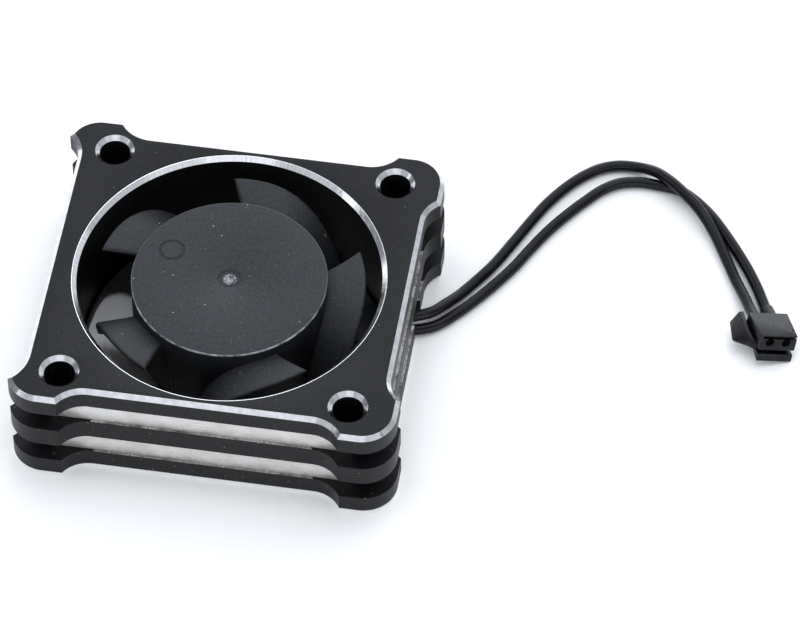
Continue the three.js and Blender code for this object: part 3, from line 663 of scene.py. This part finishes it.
def left_lobe(inset):
    """The lobe at the back left, and the arc from it to the left waist, cut where the two meet."""
    at, r = NOTCH_LEFT
    nx, ny = -(WAIST_X + r), at
    meet_y = ny + math.sqrt(r**2 - (-LOBE_X - nx) ** 2)
    cy = LOBE_Y - LOBE_R
    cx = -LOBE_X + math.sqrt(LOBE_R**2 - (meet_y - cy) ** 2)
    r0, r1 = r + inset, LOBE_R - inset
    dx, dy = cx - nx, cy - ny
    d = math.hypot(dx, dy)
    along = (r0**2 - r1**2 + d**2) / (2 * d)
    away = math.sqrt(r0**2 - along**2)
    mx, my = nx + (dx * along - dy * away) / d, ny + (dy * along + dx * away) / d
    from_notch = math.degrees(math.atan2(my - ny, mx - nx))
    from_lobe = math.degrees(math.atan2(my - cy, mx - cx)) % 360
    return arc((cx, cy), r1, 90, from_lobe, LOBE_STEPS), arc((nx, ny), r0, from_notch, 0, NOTCH_STEPS)


def fin_outline(inset=0.0):
    """The fin's outline, counter-clockwise from the right waist, with extra points along the waists."""
    right = [(y, x) for x, y in notch(*NOTCH_RIGHT, WAIST_X, LOBE_X, inset)]
    lobe = arc((LOBE_X - LOBE_R, LOBE_Y - LOBE_R), LOBE_R - inset, 0, 90, LOBE_STEPS)
    back = notch(*NOTCH_FRONT, WAIST_Y, LOBE_Y, inset)
    lobe_left, notch_left = left_lobe(inset)
    half = [*right, *lobe, *reversed(back), *((-x, y) for x, y in back), *lobe_left, *notch_left[1:]]
    return half + [(x, -y) for x, y in reversed(half)]


def groove_outline(outline):
    """The groove floor's outline, a rounded rectangle, met by a ray through each point of the fin's."""
    points = []
    for x, y in outline:
        sx, sy = math.copysign(1, x), math.copysign(1, y)
        x, y = abs(x), abs(y)
        t = min(GROOVE_X / x, GROOVE_Y / y)
        cx, cy = GROOVE_X - GROOVE_R, GROOVE_Y - GROOVE_R
        if x * t > cx and y * t > cy:
            a, b, c = x * x + y * y, x * cx + y * cy, cx * cx + cy * cy - GROOVE_R**2
            t = (b + math.sqrt(b * b - a * c)) / a
        points.append((sx * x * t, sy * y * t))
    return points


def along_side(a, b):
    """Whether an edge of the outline runs along a side rather than round a lobe."""
    x, y = abs(a[0] + b[0]) / 2, abs(a[1] + b[1]) / 2
    return (x < 12.5 and y > 13.4) or (y < 11.6 and x > 14.5)


def floor_kind(a, b):
    """The groove floors are bare along the sides."""
    return BARE if along_side(a, b) else BLACK


def ledge_kind(a, b):
    """The ledges are worn only along the waists."""
    x, y = abs(a[0] + b[0]) / 2, abs(a[1] + b[1]) / 2
    front = x < NOTCH_FRONT[0] and y > GROOVE_Y - 0.1
    side = y < NOTCH_RIGHT[0] and x > GROOVE_X - 0.1
    return LEDGE if front or side else BLACK


def at_height(outline, z):
    return [(x, y, z) for x, y in outline]


def case_shell():
    """Three fins and two grooves with the bore and the four screw holes, as one closed skin."""
    b = Build()
    full, soft, chamfer = fin_outline(), fin_outline(BREAK), fin_outline(EDGE)
    floor = groove_outline(full)
    top = HEIGHT
    levels = [(chamfer, 0), (full, EDGE), (full, LAYER - BREAK), (soft, LAYER), (floor, LAYER)]
    kinds = [MILLED, BLACK, BLACK, ledge_kind]
    z = 2 * LAYER
    levels += [(floor, z), (soft, z), (full, z + BREAK), (full, z + LAYER - BREAK), (soft, z + LAYER)]
    kinds += [floor_kind, BLACK, BLACK, BLACK, BLACK]
    z = 4 * LAYER
    levels += [(floor, 3 * LAYER), (floor, z), (soft, z), (full, z + BREAK), (full, top - EDGE), (chamfer, top)]
    kinds += [ledge_kind, floor_kind, BLACK, BLACK, BLACK, MILLED]
    rows = b.rings([at_height(outline, z) for outline, z in levels], kinds)
    bore = [
        (BORE_R + EDGE + 0.05, top), (BORE_R + EDGE, top - 0.012), (BORE_R, top - EDGE), (BORE_R, LIP_TOP),
        (LIP_R + BREAK, LIP_TOP), (LIP_R, LIP_TOP - BREAK), (LIP_R, BREAK), (LIP_R + BREAK, 0),
    ]
    # The bore's walls take the darker copy of the anodise, which is painted shade.
    bore_rows = b.turned(bore, [TURNED, TURNED, BORE, BORE, BORE, BORE, BORE], BORE_STEPS)
    hole = [(HOLE_R + EDGE, top), (HOLE_R, top - EDGE), (HOLE_R, EDGE), (HOLE_R + EDGE, 0)]
    corners = [(x, y) for x in (-HOLE, HOLE) for y in (-HOLE, HOLE)]
    holes = [b.turned(hole, [MILLED, BLACK, MILLED], HOLE_STEPS, corner) for corner in corners]
    b.cap([rows[-1], bore_rows[0], *(h[0] for h in holes)], True, BLACK)
    b.cap([rows[0], bore_rows[-1], *(h[-1] for h in holes)], False, BLACK)
    return b.object("case_shell", [anodise, edge_milled, edge_turned, groove_bare, bore_painted_shade, ledge], 20)


def make_case():
    shell = case_shell()
    size, at = (OUTLET_LENGTH, OUTLET_WIDTH, LAYER + 1), (OUTLET_MIDDLE, 0, LAYER / 2 - 0.5)
    outlet = bevelled_box("outlet", size, at, 0.0, [anodise])
    turn_about_z(outlet, LEAD_ANGLE)
    return combine(shell, [outlet], "DIFFERENCE", 20)


# ---------------------------------------------------------------- rotor


HUB_STEPS, BLADE_ROWS, BLADE_COLUMNS = 192, 32, 10
PLASTIC, GATE, RIM, WALL = range(4)


def hub():
    """The hub's cup, with its rounded rim, the dish at its middle and the gate's nub."""
    b = Build()
    round_edge = [polar(HUB_FILLET, a, (HUB_R - HUB_FILLET, HUB_TOP - HUB_FILLET)) for a in range(0, 91, 15)]
    foot = [
        (HUB_INSIDE_R, HUB_BOTTOM + HUB_BREAK), (HUB_INSIDE_R + HUB_BREAK, HUB_BOTTOM),
        (HUB_R - HUB_BREAK, HUB_BOTTOM), (HUB_R, HUB_BOTTOM + HUB_BREAK),
    ]
    dish, nub = ([(r, HUB_TOP + z) for r, z in part] for part in (GATE_DISH, GATE_NUB))
    # The side wall takes the darker copy of the plastic, which is painted shade.
    kinds = [PLASTIC] * 3 + [WALL] + [RIM] * 5 + [PLASTIC] * 5 + [GATE] * 3
    rows = b.turned([*foot, *round_edge, *dish, *nub], kinds, HUB_STEPS)
    b.face(rows[-1], GATE)
    inside = [(HUB_INSIDE_R, HUB_BOTTOM + HUB_BREAK), (HUB_INSIDE_R, HUB_CEILING)]
    b.face(b.turned(inside, [PLASTIC], HUB_STEPS)[-1], PLASTIC)
    # The rim's material carries a painted highlight.
    return b.object("impeller_body", [rotor_plastic, gate, rim, rotor_wall_painted_shade], 30)


def blade(turn):
    """One blade, round at the tip and at both ends, between its root's centre line and its tip's."""
    b = Build()
    half = BLADE_THICK / 2
    inner = HUB_R - BLADE_INSIDE
    ends = [(math.sin(a), math.cos(a)) for a in (math.radians(d) for d in (25, 50, 72))]

    def at(key, r):
        share = (r - BLADE_ROOT["r"]) / (BLADE_TIP["r"] - BLADE_ROOT["r"])
        return BLADE_ROOT[key] + (BLADE_TIP[key] - BLADE_ROOT[key]) * share

    def section(t, share, extra):
        """Across the blade at t of its way; extra is how far beyond the end, share how thick."""
        tip = BLADE_TIP["r"] - half * share
        span = [inner + (tip - inner) * i / BLADE_COLUMNS for i in range(BLADE_COLUMNS + 1)]
        loop = [(r, 1.0) for r in span]
        for a in (60, 30, 0, -30, -60):
            loop.append((tip + half * share * math.cos(math.radians(a)), math.sin(math.radians(a))))
        loop += [(r, -1.0) for r in reversed(span)]
        row = []
        for r, side in loop:
            slope = BLADE_POWER * at("drop", r) * t ** (BLADE_POWER - 1) / (math.radians(at("sweep", r)) * r)
            tilt = math.atan(slope)
            up = side * half * share
            back = math.degrees((up * math.sin(tilt) + extra * math.cos(tilt)) / r)
            z = at("top", r) - at("drop", r) * t**BLADE_POWER + up * math.cos(tilt) - extra * math.sin(tilt)
            row.append((*polar(r, turn + at("lead", r) - at("sweep", r) * t - back), z))
        return b.add(row)

    rows = [section(0.0, share, -half * out) for out, share in reversed(ends)]
    rows += [section(i / BLADE_ROWS, 1.0, 0.0) for i in range(BLADE_ROWS + 1)]
    rows += [section(1.0, share, half * out) for out, share in ends]
    for low, high in zip(rows, rows[1:]):
        b.strip(low, high)
    b.face(rows[0])
    b.face(rows[-1])
    return b.object("blade", [rotor_plastic], 40)


def make_impeller():
    body = hub()
    blades = [blade(360 * i / BLADES) for i in range(BLADES)]
    seams = []
    for angle in SEAM_ANGLES:
        seam = bevelled_box("seam", SEAM_SIZE, (HUB_R, 0, SEAM_MIDDLE), 0.0, [rotor_plastic])
        seams.append(turn_about_z(seam, angle))
    combine(body, [*blades, *seams], "UNION", 32)
    ring = Build()
    ring.turned([(r, HUB_TOP + z) for r, z in PIN_MARK], [0] * (len(PIN_MARK) - 1), 64, PIN_MARK_AT)
    return combine(body, [ring.object("pin_mark", [rotor_plastic])], "DIFFERENCE", 32)


# ---------------------------------------------------------------- motor base


def collar(r_in, r_out, z0, z1, edge=0.06):
    """The ring round the foot of the bearing tube."""
    b = Build()
    profile = [
        (r_in + edge, z0), (r_out - edge, z0), (r_out, z0 + edge), (r_out, z1 - edge), (r_out - edge, z1),
        (r_in + edge, z1), (r_in, z1 - edge), (r_in, z0 + edge), (r_in + edge, z0),
    ]
    b.turned(profile, [0] * (len(profile) - 1), 64)
    return b.object("collar", [base_plastic], 30)


OPENING_STEPS, CORNER_STEPS = 48, 8


def opening_outline(first, second, grow):
    """One opening of the base plate, between two struts, widened all round by grow."""
    f, g = OUTER_FILLET + grow, INNER_FILLET + grow
    rim, disc = RIM_R + grow, DISC_R - grow
    turn = [first[0], second[0] if second[0] > first[0] else second[0] + 360]
    ends = []
    for (_, half), side in ((first, 1), (second, -1)):
        out_off, in_off = half - grow + f, half - grow + g
        outer = (math.sqrt((rim - f) ** 2 - out_off**2), out_off)
        inner = (math.sqrt((disc + g) ** 2 - in_off**2), in_off)
        toward = math.degrees(math.atan2(outer[1], outer[0]))
        away = math.degrees(math.atan2(-inner[1], -inner[0]))
        corner = [*arc(inner, g, away, -90, CORNER_STEPS), *arc(outer, f, -90, toward, CORNER_STEPS)]
        ends.append([(math.hypot(x, y), side * math.degrees(math.atan2(y, x))) for x, y in corner])
    start = [(r, a + turn[0]) for r, a in ends[0]]
    finish = [(r, a + turn[1]) for r, a in reversed(ends[1])]
    shares = [i / OPENING_STEPS for i in range(1, OPENING_STEPS)]
    along_rim = [(rim, start[-1][1] + (finish[0][1] - start[-1][1]) * share) for share in shares]
    along_disc = [(disc, finish[-1][1] + (start[0][1] - finish[-1][1]) * share) for share in shares]
    return [polar(r, a) for r, a in (*start, *along_rim, *finish, *along_disc)]


def base_plate():
    b = Build()
    low, high, soft = PLATE_LOW, PLATE_HIGH, PLATE_BREAK
    steps = [(PLATE_R - soft, low), (PLATE_R, low + soft), (PLATE_R, high - soft), (PLATE_R - soft, high)]
    outside = b.turned(steps, [0] * 3, 200)
    loops = []
    for i, strut in enumerate(STRUTS):
        following = STRUTS[(i + 1) % len(STRUTS)]
        wide, true = opening_outline(strut, following, soft), opening_outline(strut, following, 0)
        levels = [(wide, low), (true, low + soft), (true, high - soft), (wide, high)]
        loops.append(b.rings([at_height(outline, z) for outline, z in levels], [0] * 3))
    b.cap([outside[-1], *(rows[-1] for rows in loops)], True)
    b.cap([outside[0], *(rows[0] for rows in loops)], False)
    return b.object("motor_base_body", [base_plastic], 30)


def make_base():
    use = [base_plastic]
    body = base_plate()
    lead = bevelled_box("lead_strut", LEAD_STRUT_SIZE, LEAD_STRUT_AT, 0.1, use)
    parts = [turn_about_z(lead, LEAD_ANGLE), collar(*COLLAR)]
    for angle in POST_ANGLES:
        post = Build()
        rows = post.turned(POST, [0] * (len(POST) - 1), 24, polar(POST_AT_R, angle))
        post.face(list(reversed(rows[0])))
        post.face(rows[-1])
        parts.append(post.object("post", use))
    combine(body, parts, "UNION", 30)
    channel = bevelled_box("channel", CHANNEL_SIZE, CHANNEL_AT, 0.0, use)
    return combine(body, [turn_about_z(channel, LEAD_ANGLE)], "DIFFERENCE", 30)


# ---------------------------------------------------------------- plug


def along_plug(name, profile, x, back, use, segments):
    """Turned about a line along the plug; the profile's places are measured towards the mating face."""
    b = Build()
    rows = b.turned([(r, z) for z, r in profile], [0] * (len(profile) - 1), segments)
    if profile[0] != profile[-1]:
        b.face(list(reversed(rows[0])))
        b.face(rows[-1])
    made = b.object(name, use)
    turn = Matrix.Translation((x, back, SOCKET_Z)) @ Matrix.Rotation(math.radians(90), 4, "X")
    return apply_matrix(made, turn)


def plug_housing():
    use = [nylon]
    f, k, length = PLUG_FRONT_HALF, PLUG_BACK_HALF, PLUG_LENGTH
    plan = [(-f, 0), (f, 0), (k, length), (-k, length)]
    body = bevelled_loft("plug_body", [at_height(plan, PLUG_LOW), at_height(plan, PLUG_TOP)], 0.09, use)
    reach, foot = LIP[2][0], LIP[0][1]
    lip_profile = [*LIP, (reach, foot + reach * math.tan(math.radians(PLUG_PITCH)))]
    lip = bevelled_loft("lip", [[(x, y, z) for y, z in lip_profile] for x in (-LIP_HALF, LIP_HALF)], 0.07, use)
    web = bevelled_box("web", WEB_SIZE, WEB_AT, 0.0, use)
    wing = bevelled_loft("wing", [[(x, y, z) for x, z in ring] for y, ring in WING], 0.07, use)
    combine(body, [lip, web, wing], "UNION", 30)
    cuts = [bevelled_box("lid_gap", LID_GAP_SIZE, LID_GAP_AT, 0.0, use)]
    cuts.append(bevelled_box("catch", CATCH_SIZE, CATCH_AT, 0.0, use))
    rear_length = length + 1 - SOCKET_DEPTH
    for side in (-1, 1):
        x = side * SOCKET_PITCH / 2
        at = (x + REAR_SHIFT, SOCKET_DEPTH + rear_length / 2, SOCKET_Z)
        cuts.append(bevelled_box("rear", (REAR_SIZE, rear_length, REAR_SIZE), at, 0.0, use))
        cuts.append(along_plug("mouth", MOUTH, x, 0, use, 32))
    combine(body, cuts, "DIFFERENCE", 30)
    combine(body, [along_plug("sleeve", SLEEVE, SOCKET_PITCH / 2 + REAR_SHIFT, length, use, 48)], "UNION", 30)
    return apply_matrix(body, plug_matrix())


# ---------------------------------------------------------------- pieces on their bodies


def place(piece, body, node):
    """Scales a mesh to metres, and says what body the piece rides on and what CAD node it replaces."""
    if piece.type == "MESH":
        piece.data.transform(Matrix.Diagonal((MM, MM, MM, 1)))
    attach(piece, body)
    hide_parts(node)
    return piece


place(make_case(), "housing", "case")
place(make_base(), "housing", "motor_base")
place(make_impeller(), "rotor", "impeller")
plug = place(plug_housing(), "housing", "connector_housing")

# Each wire leaves the case at the sixth point of its route.
for wire, number, points in zip(wires, (1, 2), (LEAD_1, LEAD_2)):
    wire.data.materials.append(pvc)
    place(wire, "housing", f"lead_wire_{number}")

INSIDE = {
    "bearing_tube": metal("turned_brass", (0.50, 0.34, 0.12), (0.72, 0.53, 0.24), 0.28, 4),
    "rotor_bushing": metal("bushing_brass", (0.48, 0.33, 0.12), (0.70, 0.52, 0.24), 0.30, 4),
    "shaft": metal("ground_steel", (0.55, 0.56, 0.58), (0.75, 0.76, 0.78), 0.12, 6),
    "rotor_yoke": metal("drawn_steel", (0.38, 0.39, 0.41), (0.58, 0.59, 0.61), 0.32, 1.5),
    "preload_spring": metal("spring_wire", (0.36, 0.36, 0.38), (0.52, 0.52, 0.54), 0.26, 5),
    "retaining_clip": metal("clip_steel", (0.34, 0.34, 0.36), (0.50, 0.50, 0.52), 0.30, 5),
    "ring_magnet": moulded("bonded_ferrite", (0.030, 0.029, 0.031), (0.046, 0.044, 0.046), 0.62, 5, 0.02, 0.02),
    "stator_core": banded("laminations", (0.10, 0.105, 0.11), (0.24, 0.25, 0.26), 0.45, 0.35, 0.8),
    "stator_insulator_lower": moulded("natural_nylon", (0.62, 0.58, 0.48), (0.74, 0.70, 0.60), 0.45, 4, 0.01,
                                      0.03),
    "circuit_board": moulded("solder_mask", (0.008, 0.085, 0.030), (0.014, 0.120, 0.045), 0.30, 5, 0.004, 0.03),
    "driver_chip": moulded("chip_epoxy", (0.012, 0.012, 0.013), (0.018, 0.018, 0.019), 0.50, 8, 0.01, 0.02),
    "capacitor": moulded("capacitor_body", (0.36, 0.23, 0.12), (0.46, 0.31, 0.17), 0.35, 4, 0.01, 0.02),
    "base_label": moulded("label_foil", (0.50, 0.52, 0.55), (0.58, 0.60, 0.63), 0.30, 2, 0.003, 0.04),
    "terminal_1": metal("tinned_bronze", (0.52, 0.50, 0.45), (0.74, 0.72, 0.66), 0.22, 4),
}
INSIDE["stator_insulator_upper"] = INSIDE["stator_insulator_lower"]
INSIDE["terminal_2"] = INSIDE["terminal_1"]
for where in ("lower", "upper"):
    for kind in ("bearing_outer_ring", "bearing_inner_ring", "ball_cage"):
        INSIDE[f"{kind}_{where}"] = INSIDE["shaft"]
COPPER = (0.22, 0.065, 0.018), (0.62, 0.26, 0.09)
for number in (1, 2, 3, 4):
    INSIDE[f"coil_{number}"] = banded(f"winding_{number}", *COPPER, 0.30, 0.16, 0.6, 1 - number % 2)
for name, look in INSIDE.items():
    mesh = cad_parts[name].data
    mesh.materials.clear()
    mesh.materials.append(look)

# ---------------------------------------------------------------- stage

FLOOR_REACH = 0.9                  # metres


def make_stage():
    floor = Build()
    corners = [(-1, -1), (1, -1), (1, 1), (-1, 1)]
    floor.face(floor.add([(x * FLOOR_REACH, y * FLOOR_REACH, 0) for x, y in corners]))
    n = Nodes("floor", (0.97, 0.955, 0.93), 0.7, 0.0, 0.2)
    n.set(n.shader, "Roughness", n.spread(n.noise(0.02, 2), 0.3, 0.7, 0.66, 0.74))
    floor.object("floor", [n.material])
    world = bpy.data.worlds.new("world")
    world.use_nodes = True
    world.node_tree.nodes["Background"].inputs["Color"].default_value = (0.90, 0.93, 1.0, 1)
    world.node_tree.nodes["Background"].inputs["Strength"].default_value = 0.24
    bpy.context.scene.world = world


# The tent of softboxes round the fan: for each elevation the panels' size in metres, and the
# radiance of each panel by its azimuth, counter-clockwise from +X.
TENT_DISTANCE = 0.6
TENT = {
    12: ((0.4609, 0.2660), {0: 0.25, 45: 0.5, 90: 2.66, 135: 1.27, 225: 1.6, 270: 2.17, 315: 2.36}),
    37: ((0.3764, 0.2660), {0: 0.34, 45: 1.74, 90: 2.1, 135: 1.05, 180: 1.58, 225: 0.35, 270: 0.8, 315: 0.56}),
    62: ((0.2950, 0.2660), {0: 1.63, 60: 1.69, 120: 0.76, 180: 0.78, 240: 0.75}),
    90: ((0.3215, 0.3215), {0: 2.19}),
}
TENT_COLOUR = (0.955, 1.0, 1.07)


def softbox(azimuth, elevation, size, radiance):
    """A rectangular panel that faces the fan."""
    a, e = math.radians(azimuth), math.radians(elevation)
    out = Vector((math.cos(a) * math.cos(e), math.sin(a) * math.cos(e), math.sin(e)))
    data = bpy.data.lights.new(f"softbox_{elevation}_{azimuth}", "AREA")
    data.shape = "RECTANGLE"
    data.size, data.size_y = size
    data.energy = math.pi * size[0] * size[1] * radiance
    data.color = TENT_COLOUR
    light = bpy.data.objects.new(data.name, data)
    light.location = out * TENT_DISTANCE
    light.rotation_euler = out.to_track_quat("Z", "Y").to_euler()
    light.visible_camera = False
    bpy.context.collection.objects.link(light)


make_stage()
for tier, (panel, radiances) in TENT.items():
    for side, level in radiances.items():
        softbox(side, tier, panel, level)

bpy.context.scene.view_settings.view_transform = "Standard"
